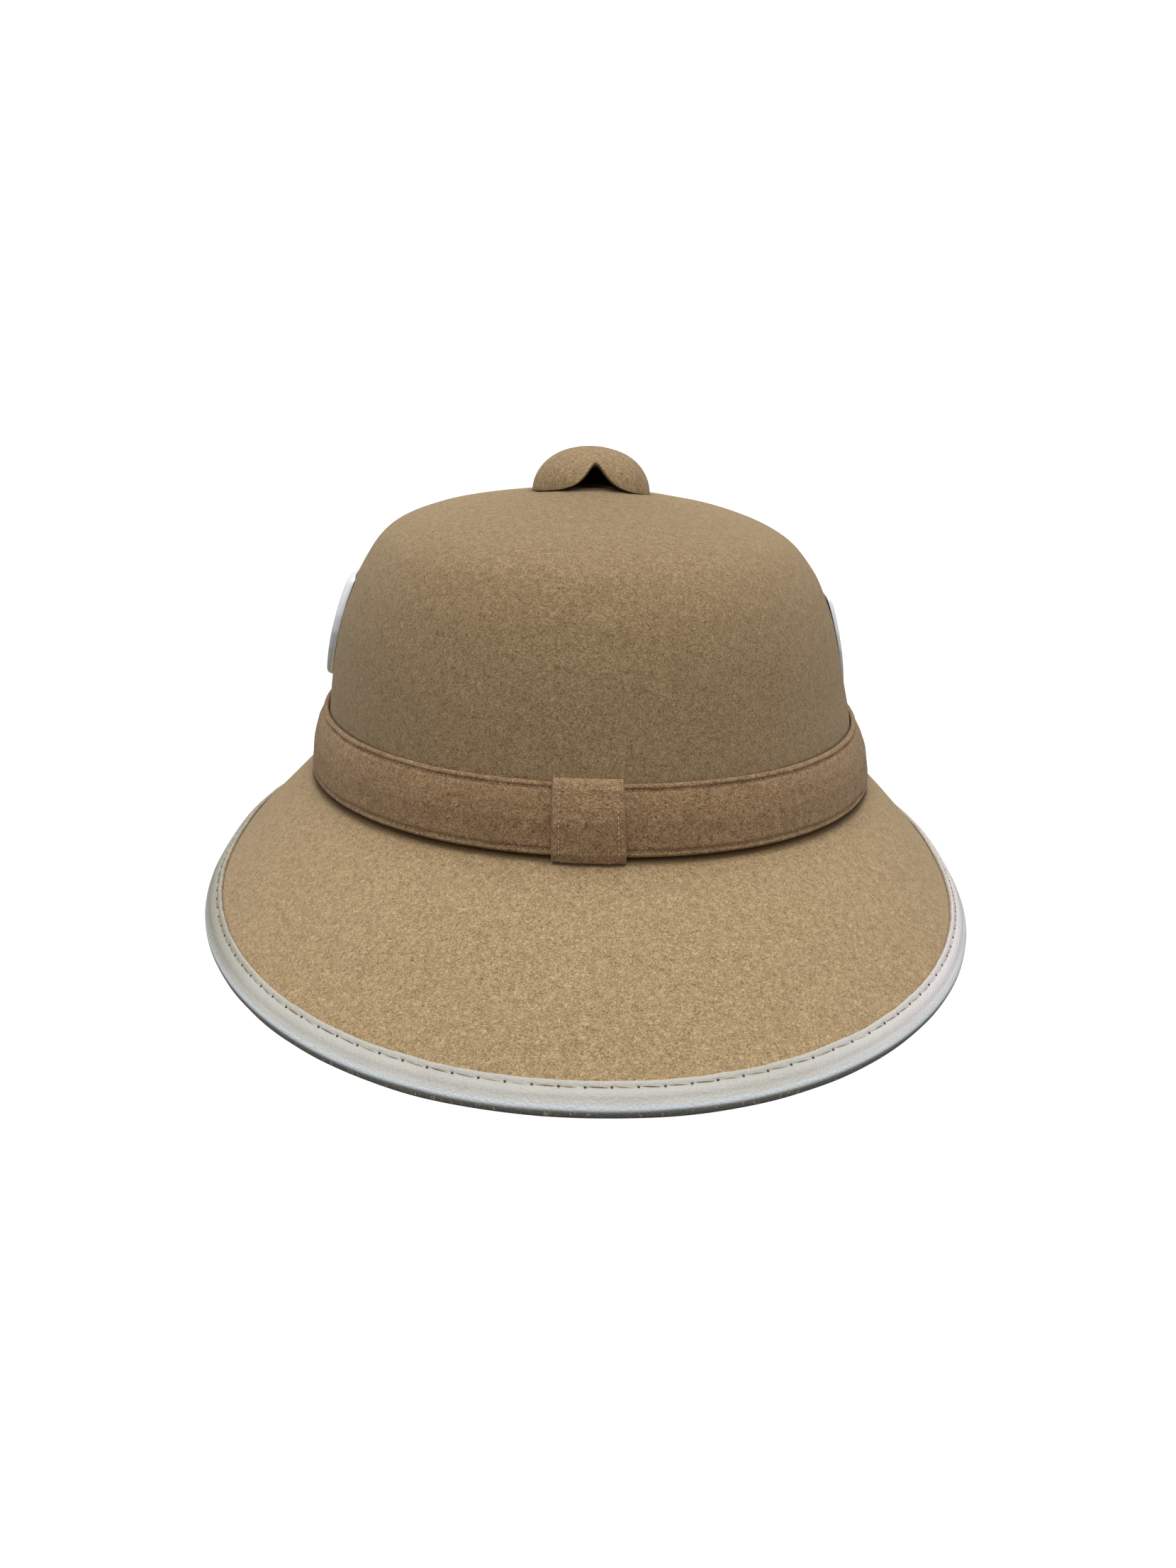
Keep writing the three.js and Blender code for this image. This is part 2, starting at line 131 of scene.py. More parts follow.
world = bpy.data.worlds.new("studio")
bpy.context.scene.world = world
world.use_nodes = True
add = adder(world.node_tree)
world.node_tree.nodes.clear()
sky = add("ShaderNodeTexCoord").outputs["Generated"]
height = add("ShaderNodeSeparateXYZ", {0: sky}).outputs["Z"]
shade = span(
    add, height, surround_from, surround_to, surround_low, surround_high, interpolation_type="SMOOTHSTEP"
)
seen = add("ShaderNodeLightPath").outputs
mirrored = worked(add, "MULTIPLY", seen["Is Glossy Ray"], mirrored_white)
white_share = worked(add, "MAXIMUM", seen["Is Camera Ray"], mirrored)
level = add("ShaderNodeMix", {"Factor": white_share, "A": shade, "B": 1.0}).outputs["Result"]
glow = add("ShaderNodeBackground", {"Color": WHITE, "Strength": level})
add("ShaderNodeOutputWorld", {"Surface": glow.outputs["Background"]})
bpy.context.scene.view_settings.view_transform = "Standard"

floor_mesh = bpy.data.meshes.new("floor")
floor_corners = [(x * floor_half, y * floor_half, 0) for x, y in ((-1, -1), (1, -1), (1, 1), (-1, 1))]
floor_mesh.from_pydata(floor_corners, [], [(0, 1, 2, 3)])
floor = bpy.data.objects.new("floor", floor_mesh)
bpy.context.scene.collection.objects.link(floor)
floor_paint, shader, add = material("floor_white")
shader.inputs["Base Color"].default_value = floor_grey
shader.inputs["Roughness"].default_value = 0.9
seen = add("ShaderNodeLightPath")
shader.inputs["Emission Color"].default_value = WHITE
add.link(seen.outputs["Is Camera Ray"], shader.inputs["Emission Strength"])
floor_mesh.materials.append(floor_paint)


# Felt shell: crown and brim are one piece of wool felt, pressed over a block while wet, with a short nap and
# a round vent hole through the top. The felt is painted darker over the crown, most at its front, with
# painted shade past the crease and painted shadow under the hood and round the foot of the band.
felt_thickness = 3
leather_thickness = 1.0
seat_gap = 0.3
nose_radius = felt_thickness / 2 + seat_gap + leather_thickness
rest_facet_half_angle = math.radians(15)
edge_height = nose_radius * math.cos(rest_facet_half_angle)
crown_half_width = 87.4
crown_half_length = 102.6
crown_squareness = 2.1
crown_top = 139
crease_front = 50.1
crease_side = 50.8
crease_rear = 52.0
brim_front = 165.8
brim_rear = 156.1
brim_half_width = 120.4
brim_squareness = 2.38
brim_side_rise = 11.6
brim_side_power = 1.5
brim_bow = 0.12
crease_softness = 4.5
vent_hole_radius = 6
crown_lean = 0.03
hood_radius = 19.2
hood_set_back = 8
band_foot_front, band_foot_side, band_foot_rear = 49.0, 48.6, 51.0
band_height = 20
small_step = 0.004
wave_shift = (17.3, 9.1, 5.7)

# rise is a share of the height from crease to top, half and long shares of the crown's half width and half
# length, and sway the sideways lean as a share of the half width
CROWN = np.array(
    [
        # rise, half, long, sway
        (0.0, 1.0, 1.0, 0.0),
        (0.1174, 0.985, 0.988, 0.005),
        (0.2348, 0.97, 0.974, 0.01),
        (0.3229, 0.955, 0.96, 0.016),
        (0.4599, 0.928, 0.934, 0.022),
        (0.5969, 0.887, 0.896, 0.025),
        (0.7241, 0.828, 0.842, 0.028),
        (0.8317, 0.733, 0.754, 0.038),
        (0.9021, 0.56, 0.6, 0.052),
        (0.9471, 0.34, 0.38, 0.044),
        (1.0, vent_hole_radius / crown_half_width, vent_hole_radius / crown_half_length, crown_lean),
    ]
)

felt_low, felt_high = (np.array(corner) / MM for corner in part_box("felt_shell"))
centre_y = (felt_low[1] + felt_high[1]) / 2 + (brim_front - brim_rear) / 2
ground = crown_top - felt_high[2]
hood_x = -crown_lean * crown_half_width
hood_y = centre_y + hood_set_back
soft_crown = crease_softness / (crown_top - crease_front)
soft_brim = crease_softness / (brim_front - crown_half_length)


def unit(vectors):
    return vectors / np.maximum(np.linalg.norm(vectors, axis=-1, keepdims=True), 1e-9)


def mix(a, b, share):
    return a + (b - a) * share


def smooth_step(low, high, value):
    share = np.clip((value - low) / (high - low), 0, 1)
    return share * share * (3 - 2 * share)


def lengths(points):
    """The length along a line of points up to each of them."""
    return np.concatenate([[0], np.cumsum(np.linalg.norm(np.diff(points, axis=0), axis=1))])


def smooth_rows(rows, place):
    """The rows of a table at a place between them, on a smooth curve through the rows."""
    last = len(rows) - 1
    index = np.clip(np.floor(place).astype(int), 0, last - 1)
    f = (place - index)[..., None]
    a, b, c, d = (rows[np.clip(index + k, 0, last)] for k in (-1, 0, 1, 2))
    return b + 0.5 * f * (c - a + f * (2 * a - 5 * b + 4 * c - d + f * (3 * (b - c) + d - a)))


def round_value(angle, front, side, rear, power=2.0):
    """A value that goes from front to side to rear. Angle 0 is the front, a quarter turn is +X."""
    end = np.where(np.cos(angle) > 0, front, rear)
    return end + (side - end) * np.abs(np.sin(angle)) ** power


def oval(angle, half, front, rear, squareness):
    side, ahead = (np.sign(v) * np.abs(v) ** (2 / squareness) for v in (np.sin(angle), np.cos(angle)))
    return half * side, centre_y - np.where(ahead > 0, front, rear) * ahead


def crown_point(angle, climb):
    """A point of the crown's outer face. climb goes from 0 at the crease to 1 at the vent hole."""
    rise, half, long, sway = np.moveaxis(smooth_rows(CROWN, climb * (len(CROWN) - 1)), -1, 0)
    long = long * crown_half_length
    x, y = oval(angle, half * crown_half_width, long, long, crown_squareness)
    z = mix(round_value(angle, crease_front, crease_side, crease_rear), crown_top, rise)
    return np.stack([x - sway * crown_half_width, y, z - ground], -1)


def brim_point(angle, reach):
    """A point of the brim's outer face. reach goes from 0 at the crease to 1 at the edge."""
    foot = crown_point(angle, 0 * angle)
    x, y = oval(angle, brim_half_width, brim_front, brim_rear, brim_squareness)
    height = edge_height + round_value(angle, 0, brim_side_rise, 0, brim_side_power) - ground
    width = np.hypot(x - foot[..., 0], y - foot[..., 1])
    top = height
    for _ in range(3):
        slope = np.arctan2((foot[..., 2] - top) * (1 + brim_bow), width)
        top = height + felt_thickness / 2 * np.cos(slope)
    fall = reach - brim_bow * reach * (1 - reach)
    x, y = mix(foot[..., 0], x, reach), mix(foot[..., 1], y, reach)
    return np.stack([x, y, mix(foot[..., 2], top, fall)], -1)


def outer_point(angle, along):
    """The felt's outer face. along is -1 at the vent hole, 0 at the crease and 1 at the edge."""
    angle, along = np.broadcast_arrays(np.asarray(angle, float), np.asarray(along, float))
    share = np.clip((along + soft_crown) / (soft_crown + soft_brim), 0, 1)[..., None]
    start = crown_point(angle, 0 * angle + soft_crown)
    corner = crown_point(angle, 0 * angle)
    end = brim_point(angle, 0 * angle + soft_brim)
    crease = mix(mix(start, corner, share), mix(corner, end, share), share)
    crown = crown_point(angle, np.maximum(-along, 0))
    brim = brim_point(angle, np.maximum(along, 0))
    on_crown, on_brim = (along <= -soft_crown)[..., None], (along >= soft_brim)[..., None]
    return np.where(on_crown, crown, np.where(on_brim, brim, crease))


def outer_frame(angle, along):
    """Points of the outer face, with the direction square to the felt and the direction down its slope."""
    point = outer_point(angle, along)
    turn = outer_point(angle + small_step, along) - outer_point(angle - small_step, along)
    down = outer_point(angle, along + small_step) - outer_point(angle, along - small_step)
    normal = unit(np.cross(down, turn))
    return point, normal, unit(np.cross(turn, normal))


def waves(points, size, seed):
    """Smooth unevenness from -1 to 1 over points in millimetres, with swells of about the given size."""
    shift = Vector([seed * part for part in wave_shift])
    flat = points.reshape(-1, 3) / size
    values = [noise.noise(Vector(p) + shift) for p in flat]
    return np.array(values).reshape(points.shape[:-1])


def swells(points, *kinds):
    """The sum of several wave patterns, each with its height and size in millimetres and its seed."""
    return sum(height * waves(points, size, seed) for height, size, seed in kinds)


def round_angles(count):
    return (np.arange(count) + 0.5) * 2 * math.pi / count


def band_foot(angle):
    """The height of the band's lower edge."""
    return round_value(angle, band_foot_front, band_foot_side, band_foot_rear) - ground


def new_piece(name, points, faces, values=()):
    """An object in metres from points in millimetres, smooth shaded, its faces turned out."""
    mesh = bpy.data.meshes.new(name)
    mesh.from_pydata((points.reshape(-1, 3) * MM).tolist(), [], faces)
    for label, data in dict(values).items():
        kind, field = ("FLOAT_VECTOR", "vector") if data.shape[-1] == 3 else ("FLOAT", "value")
        mesh.attributes.new(label, kind, "POINT").data.foreach_set(field, data.astype(np.float32).ravel())
    mesh.polygons.foreach_set("use_smooth", [True] * len(mesh.polygons))
    piece = bpy.data.objects.new(name, mesh)
    bpy.context.scene.collection.objects.link(piece)
    mesh.calc_loop_triangles()
    corners = np.array([t.vertices[:] for t in mesh.loop_triangles])
    a, b, c = (points.reshape(-1, 3)[corners[:, k]] for k in range(3))
    if np.einsum("ij,ij->i", a, np.cross(b, c)).sum() < 0:
        mesh.flip_normals()
    return piece


def grid_faces(rows, columns, first=0, close_rows=False, close_columns=True, flip=False):
    """Quads of a grid of points that are numbered row by row."""
    i = np.arange(rows if close_rows else rows - 1)[:, None]
    j = np.arange(columns if close_columns else columns - 1)[None, :]
    row, next_row = i * columns, (i + 1) % rows * columns
    right = (j + 1) % columns
    quads = np.stack(np.broadcast_arrays(row + j, next_row + j, next_row + right, row + right), -1)
    quads = quads.reshape(-1, 4) + first
    return (quads[:, ::-1] if flip else quads).tolist()


def nap_place(angle, down, radius=100.0):
    """A place in the nap, in millimetres round the helmet and down the slope, with no seam at the rear."""
    angle, down = np.broadcast_arrays(angle, down)
    return np.stack([radius * np.sin(angle), radius * np.cos(angle), down], -1)


def blend(add, share, start, end, **settings):
    """The output of a node that mixes two colours."""
    inputs = {"Factor": share, "A": start, "B": end}
    return add("ShaderNodeMix", inputs, data_type="RGBA", **settings).outputs["Result"]


def place_in_mm(add):
    """Where a point of the piece lies, in millimetres."""
    place = add("ShaderNodeTexCoord").outputs["Object"]
    return add("ShaderNodeVectorMath", {0: place, "Scale": 1 / MM}, operation="SCALE").outputs[0]


def drawn_out(add, vector, by):
    """A place multiplied by a factor for each axis: the smaller the factor, the longer the pattern."""
    return add("ShaderNodeVectorMath", {0: vector, 1: by}, operation="MULTIPLY").outputs[0]


def speckle(add, vector, scale, detail=2.0, roughness=0.5, distortion=0.0):
    """The outputs of a noise over a place: first its level, then its colour."""
    inputs = {"Vector": vector, "Scale": scale, "Detail": detail, "Roughness": roughness}
    return add("ShaderNodeTexNoise", {**inputs, "Distortion": distortion}).outputs


def attribute(add, name):
    """The outputs of a node that reads the piece's own value of this name."""
    return add("ShaderNodeAttribute", attribute_name=name).outputs


def raise_surface(add, shader, height, distance, strength):
    """Relief in the shading: distance is its height in millimetres."""
    bump = add("ShaderNodeBump", {"Height": height, "Distance": distance * MM, "Strength": strength})
    add.link(bump.outputs["Normal"], shader.inputs["Normal"])


# Wool nap, used by every felt: three layers of matted short hairs that cross one another and one combed down
# the slope, with fuzz and tufts between them, soft patches of another hue, pale lint, and a darkening that
# each piece gives, which is painted shade in places.
lint_cream = (0.75, 0.66, 0.5, 1)
darkening_brown = (0.05, 0.02, 0.0, 1)
crossed_turns = (0.15, 0.9, -0.75)
crossed_draw = (0.6, 1.75, 1.75)
combed_draw = (2.0, 2.0, 0.5)
hair_fineness = 0.09
tone_low, tone_high = 1.42, 4.58

wool_nap = bpy.data.node_groups.new("wool_nap", "ShaderNodeTree")
for label, kind, value in (
    ("Nap", "NodeSocketVector", None),
    ("Dark", "NodeSocketColor", (0.1, 0.08, 0.05, 1)),
    ("Light", "NodeSocketColor", (0.5, 0.4, 0.3, 1)),
    ("Patch", "NodeSocketColor", (0.3, 0.2, 0.1, 1)),
    ("Streak", "NodeSocketFloat", 0.5),
    ("Contrast", "NodeSocketFloat", 1.0),
    ("Darkening", "NodeSocketFloat", 0.0),
):
    socket = wool_nap.interface.new_socket(label, in_out="INPUT", socket_type=kind)
    if value is not None:
        socket.default_value = value
for label, kind in (("Color", "NodeSocketColor"), ("Height", "NodeSocketFloat")):
    wool_nap.interface.new_socket(label, in_out="OUTPUT", socket_type=kind)
add = adder(wool_nap)
given = add("NodeGroupInput").outputs
put = add("NodeGroupOutput").inputs
place_mm = place_in_mm(add)
curl = speckle(add, place_mm, 0.7, detail=1.0)["Color"]
curl_by = add("ShaderNodeVectorMath", {0: curl, "Scale": 1.6}, operation="SCALE").outputs[0]


def hair_layer(vector, turn, draw):
    """Thin hairs lying one way: the level line of a noise that is drawn out along one axis after a turn."""
    bent = add("ShaderNodeVectorMath", {0: vector, 1: curl_by}, operation="ADD").outputs[0]
    turned = add("ShaderNodeVectorRotate", {"Vector": bent, "Angle": turn}, rotation_type="Y_AXIS")
    level = speckle(add, drawn_out(add, turned.outputs[0], draw), 1.0, detail=1.0)[0]
    off_line = worked(add, "ABSOLUTE", worked(add, "ADD", level, -0.5))
    return span(add, off_line, hair_fineness, 0.0)


hairs = [hair_layer(place_mm, turn, crossed_draw) for turn in crossed_turns]
crossed = worked(add, "ADD", worked(add, "ADD", hairs[0], hairs[1]), hairs[2])
combed = hair_layer(given["Nap"], 0.0, combed_draw)
hairy = worked(add, "MULTIPLY_ADD", combed, given["Streak"], crossed)
fuzz = speckle(add, place_mm, 3.4, detail=1.0, roughness=0.6)[0]
fuzzy = worked(add, "MULTIPLY_ADD", fuzz, 2.0, hairy)
tufts = speckle(add, place_mm, 0.5, detail=2.0, roughness=0.6)[0]
tufted = worked(add, "MULTIPLY_ADD", tufts, 1.7, fuzzy)
centred = worked(add, "ADD", span(add, tufted, tone_low, tone_high), -0.5)
strong = worked(add, "MULTIPLY_ADD", centred, given["Contrast"], 0.5, use_clamp=True)
tone = blend(add, strong, given["Dark"], given["Light"])
patches = speckle(add, place_mm, 0.045, detail=3.0, roughness=0.55)[0]
patch_share = span(add, patches, 0.42, 0.68, to_high=0.15)
patched = blend(add, patch_share, tone, given["Patch"], blend_type="SOFT_LIGHT")
lint = add("ShaderNodeTexVoronoi", {"Vector": place_mm, "Scale": 0.16, "Randomness": 1.0})
lint_share = span(add, lint.outputs["Distance"], 0.02, 0.04, 0.6, 0.0)
linty = blend(add, lint_share, patched, lint_cream)
# The darkening each piece gives, painted shade in places, is mixed in last.
add.link(blend(add, given["Darkening"], linty, darkening_brown), put["Color"])
add.link(strong, put["Height"])


def felt(name, dark, light, patch, streak, raised):
    """Felt with the nap in the given colours. raised is how far the hairs stand up, in millimetres."""
    made, shader, add = material(name)
    look = add("ShaderNodeGroup", node_tree=wool_nap)
    add.link(attribute(add, "nap")["Vector"], look.inputs["Nap"])
    add.link(attribute(add, "darkening")["Fac"], look.inputs["Darkening"])
    for label, value in (("Dark", dark), ("Light", light), ("Patch", patch), ("Streak", streak)):
        look.inputs[label].default_value = value
    raise_surface(add, shader, look.outputs["Height"], distance=raised, strength=0.7)
    add.link(look.outputs["Color"], shader.inputs["Base Color"])
    shader.inputs["Roughness"].default_value = 0.92
    shader.inputs["Specular IOR Level"].default_value = 0.2
    shader.inputs["Sheen Weight"].default_value = 0.18
    shader.inputs["Sheen Roughness"].default_value = 0.5
    shader.inputs["Sheen Tint"].default_value = (1.0, 0.9, 0.72, 1)
    return made


crown_felt = felt(
    "crown_felt",
    dark=(0.165, 0.108, 0.05, 1),
    light=(0.6, 0.435, 0.246, 1),
    patch=(0.47, 0.43, 0.38, 1),
    streak=0.8,
    raised=0.16,
)

shell_turns = 512
crown_rows, brim_rows, inner_rows = 90, 60, 20
FELT_SWELLS = ((0.35, 34, 1), (0.14, 12, 2))
crown_darkening_rear, crown_darkening_front, band_foot_shadow = 0.13, 0.31, 0.8
angles = round_angles(shell_turns)
along = np.concatenate([np.linspace(-1, 0, crown_rows, endpoint=False), np.linspace(0, 1, brim_rows)])
point, normal, _ = outer_frame(angles[None, :], along[:, None])
bare_brim = smooth_step(0.0, 0.25, 0.35 - np.abs(along - 0.45))
bare_crown = smooth_step(-0.36, -0.5, along)
bare = np.clip(bare_brim + bare_crown, 0, 1)[:, None]
outside = point + normal * (swells(point, *FELT_SWELLS) * bare)[..., None]
inner_along = np.linspace(-1, 1, inner_rows)
inner_point, inner_normal, _ = outer_frame(angles[None, :], inner_along[:, None])
inside = inner_point - inner_normal * felt_thickness
down = lengths(outer_point(0.0, along))
inner_down = np.interp(inner_along, along, down)
shell_points = np.concatenate([outside, inside[::-1]])
shell_nap = nap_place(angles[None, :], np.concatenate([down, inner_down[::-1]])[:, None])
shell_along = np.concatenate([along, inner_along[::-1]])[:, None]
# The crown is painted darker, more at the front than the rear; it fades out past the crease as painted
# shade.
front_share = 0.5 + 0.5 * np.cos(angles)[None, :]
wall_darkening = mix(crown_darkening_rear, crown_darkening_front, front_share) * smooth_step(0.3, -0.12, shell_along)
# Painted shadow on the crown's top, under the vent hood.
hood_distance = np.hypot(shell_points[..., 0] - hood_x, shell_points[..., 1] - hood_y)
hood_darkening = smooth_step(hood_radius + 0.3, hood_radius - 3, hood_distance)
# Painted shadow on the felt round the band's foot, and under the band where it is hidden.
above_foot = outside[..., 2] - band_foot(angles)
band_shadow_mask = smooth_step(-2.4, -1.0, above_foot) * smooth_step(band_height, band_height - 0.8, above_foot)
band_darkening = np.concatenate([band_foot_shadow * band_shadow_mask, np.zeros(inside.shape[:2])])
# All the felt's darkening: the crown's darker tone, painted shade and painted shadows.
shell_darkening = np.clip(wall_darkening + band_darkening + hood_darkening, 0, 0.95)
felt_shell = new_piece(
    "crown_and_brim",
    shell_points,
    grid_faces(len(shell_points), shell_turns, close_rows=True),
    {"nap": shell_nap, "darkening": shell_darkening[..., None]},
)
felt_shell.data.materials.append(crown_felt)
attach(felt_shell, "root")
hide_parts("felt_shell")


# Leather binding: a strip of pale grey-green hide folded over the felt's edge and sewn through all layers
# with one row of long stitches. The folded nose is rubbed bare in a few places at the front, with a painted
# highlight along its upper turn and painted shade below.
binding_width = 5.6
seam_inset = 1.8
stitch_step = 6.9
binding_turns = 1400
seam_half_width, seam_dip = 0.5, 0.2
hole_half_width, hole_dip = 0.42, 0.3
lip_share = 0.75
inner_gap = 0.6 * seat_gap
hide_swell = 0.3
hide_crease = 0.05
nose_wave = 0.12
floor_clearance = 0.02


def binding_rows(angle):
    """The felt's edge at each angle: its middle, two directions, the brim's width and the leather leg's."""
    edge, edge_normal, edge_slope = outer_frame(angle, 1 + 0 * angle)
    centre = edge - edge_normal * felt_thickness / 2
    width = np.linalg.norm(brim_point(angle, 1 + 0 * angle) - brim_point(angle, 0 * angle), axis=-1)
    leg = binding_width + 0.22 * waves(edge, 9, 5) + 0.1 * waves(edge, 2.5, 6)
    return centre, edge_normal, edge_slope, width, leg


def leg_frame(angle, inset, leg, width):
    """The felt's outer face where the leather lies a given inset from its own cut edge."""
    point, normal, _ = outer_frame(angle, 1 - leg * (1 - inset / binding_width) / width)
    return point, normal


def hump(value, centre, half_width):
    """A smooth hump: 1 at its centre, falling to nothing on both sides."""
    return np.exp(-(((value - centre) / half_width) ** 2))


angles = round_angles(binding_turns)
centre, edge_normal, edge_slope, width, leg = binding_rows(angles)
around = lengths(centre)
rim_length = around[-1] + np.linalg.norm(centre[0] - centre[-1])
stitches = round(rim_length / stitch_step)
stitch_phase = around / rim_length * stitches
hole_nearness = hump(((stitch_phase + 0.5) % 1 - 0.5) * rim_length / stitches, 0, hole_half_width)

binding_section = []
wear_and_light = {"rub": [], "raw": [], "shine": [], "under": []}


def add_row(points, **worn_and_lit):
    """One row round the binding: how rubbed or raw the leather is, and its painted highlight and shade."""
    binding_section.append(points)
    for name, values in wear_and_light.items():
        values.append(worn_and_lit.get(name, 0.0) + 0 * around)


for inset in np.concatenate([np.linspace(0, 3.4, 20), np.linspace(3.7, binding_width, 7)]):
    point, normal = leg_frame(angles, inset, leg, width)
    seam = hump(inset, seam_inset, seam_half_width)
    lip = smooth_step(0.0, 0.35, inset)
    swell = hide_swell * smooth_step(seam_inset, seam_inset + 1.8, inset) * smooth_step(5.8, 4.0, inset)
    crease = hide_crease * waves(np.stack([around * 1.6, 0 * around + inset * 0.25, 0 * around], -1), 1.0, 7)
    lift = seat_gap + leather_thickness * mix(lip_share, 1, lip) + swell + crease * (1 - seam)
    lift = lift - seam_dip * seam - hole_dip * seam * hole_nearness
    add_row(point + normal * lift[:, None], raw=hump(inset, 0, 0.4))
nose_waves = waves(centre, 14, 8)
for degrees in np.linspace(80, -80, 23):
    turn = math.radians(degrees)
    radius = nose_radius + hide_swell * math.cos(turn) + nose_wave * nose_waves
    out = edge_slope * math.cos(turn) + edge_normal * math.sin(turn)
    place = centre + out * radius[:, None]
    place[:, 2] = np.maximum(place[:, 2], floor_clearance)
    # Painted shade on the underside of the nose.
    under = smooth_step(-46, -30, -degrees + 5 * nose_waves)
    add_row(place, rub=hump(degrees, 8, 24), shine=hump(degrees, 52, 16), under=under)
# The leg under the brim is painted in shade all along.
for inset in np.linspace(binding_width - 0.2, 0, 8):
    point, normal = leg_frame(angles, inset, leg, width)
    add_row(point - normal * (felt_thickness + seat_gap + leather_thickness), under=1.0)
inner_insets = np.linspace(0, 5.0, 4)
for inset in inner_insets:
    point, normal = leg_frame(angles, inset, leg, width)
    add_row(point - normal * (felt_thickness + seat_gap))
for inset in inner_insets[::-1]:
    point, normal = leg_frame(angles, inset, leg, width)
    add_row(point + normal * inner_gap, raw=1.0 if inset == 0 else 0.0)
binding_points = np.stack(binding_section)
binding_across = lengths(binding_points[:, 0])
binding_nap = nap_place(angles[None, :], binding_across[:, None], rim_length / 2 / math.pi)
binding = new_piece(
    "leather_binding",
    binding_points,
    grid_faces(len(binding_points), binding_turns, close_rows=True),
    {"nap": binding_nap, **{name: np.stack(values)[..., None] for name, values in wear_and_light.items()}},
)

hide_dark, hide_light = (0.425, 0.415, 0.365, 1), (0.52, 0.513, 0.475, 1)
hide_rosy, hide_dim = (0.7, 0.665, 0.69, 1), (0.3, 0.29, 0.23, 1)
hide_painted_highlight, hide_painted_shade = (0.76, 0.82, 0.86, 1), (0.185, 0.19, 0.165, 1)
hide_raw, hide_worn = (0.6, 0.5, 0.34, 1), (0.75, 0.52, 0.38, 1)
leather, shader, add = material("binding_hide")
place_mm = place_in_mm(add)
nap = attribute(add, "nap")["Vector"]
side_and_front = add("ShaderNodeSeparateXYZ", {0: place_mm}).outputs
cloudy = blend(add, speckle(add, place_mm, 0.06, detail=3.0)[0], hide_dark, hide_light)
to_right = span(add, side_and_front["X"], 55.0, 105.0, to_high=0.7)
rosy = blend(add, to_right, cloudy, hide_rosy)
to_left = span(add, side_and_front["X"], -85.0, -112.0, to_high=0.85)
dimmed = blend(add, to_left, rosy, hide_dim)
# Painted highlight along the nose's upper turn.
highlighted = blend(add, attribute(add, "shine")["Fac"], dimmed, hide_painted_highlight)
# Painted shade below the nose and under the brim.
shaded_below = blend(add, attribute(add, "under")["Fac"], highlighted, hide_painted_shade)
frayed = span(add, speckle(add, place_mm, 0.8, detail=3.0, roughness=0.7)[0], 0.44, 0.6)
raw_share = worked(add, "MULTIPLY", attribute(add, "raw")["Fac"], frayed)
edged = blend(add, raw_share, shaded_below, hide_raw)
scuff_place = drawn_out(add, nap, (0.9, 0.9, 0.35))
scuff = speckle(add, scuff_place, 1.0, detail=5.0, roughness=0.75, distortion=0.6)[0]
near_front = span(add, side_and_front["Y"], -125.0, -152.0)
scuff_share = worked(add, "MULTIPLY", span(add, scuff, 0.57, 0.62), attribute(add, "rub")["Fac"])
worn_and_lit = blend(add, worked(add, "MULTIPLY", scuff_share, near_front), edged, hide_worn)
add.link(worn_and_lit, shader.inputs["Base Color"])
pebbles = add("ShaderNodeTexVoronoi", {"Vector": place_mm, "Scale": 1.7}, feature="SMOOTH_F1")
wrinkles = speckle(add, drawn_out(add, nap, (1.4, 1.4, 0.25)), 1.0, detail=3.0, roughness=0.55)[0]
grain = worked(add, "MULTIPLY_ADD", pebbles.outputs["Distance"], 0.5, wrinkles)
raise_surface(add, shader, grain, distance=0.28, strength=0.9)
add.link(span(add, wrinkles, 0.3, 0.7, 0.38, 0.55), shader.inputs["Roughness"])
binding.data.materials.append(leather)
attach(binding, "root")
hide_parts("brim_binding")


# Binding seam: one row of waxed linen thread round the brim, in stitches about 7 mm long. Each one is pulled
# tight and goes down into a dark needle hole at its ends, so the row lies a little sunk in the leather.
linen_thickness = 0.3
linen_rise = 0.3
linen_height = 0.06
hole_below, hole_above = 0.25, 0.07
hole_inward, hole_outward = 0.1, 0.28
HOLE_RADII = (0.28, 0.38, 0.36, 0.2)
hole_black, hole_brown = (0.05, 0.035, 0.025, 1), (0.12, 0.07, 0.045, 1)


def tubes(name, paths, radii, up, sides=6):
    """Closed round strands along paths (strand, step, xyz) in millimetres, with a radius for each step."""
    tangent = unit(np.gradient(paths, axis=1))
    across = unit(np.cross(tangent, np.broadcast_to(up, paths.shape)))
    upward = np.cross(across, tangent)
    turn = np.arange(sides) * 2 * math.pi / sides
    radii = np.broadcast_to(radii, paths.shape[:2])[..., None, None]
    ring = np.cos(turn)[:, None] * across[:, :, None] + np.sin(turn)[:, None] * upward[:, :, None]
    points = paths[:, :, None] + radii * ring
    count, steps = paths.shape[:2]
    faces = []
    for strand in range(count):
        first = strand * steps * sides
        faces += grid_faces(steps, sides, first)
        faces.append(list(range(first, first + sides)))
        faces.append(list(range(first + (steps - 1) * sides, first + steps * sides))[::-1])
    return new_piece(name, points, faces)


rng = np.random.default_rng(11)


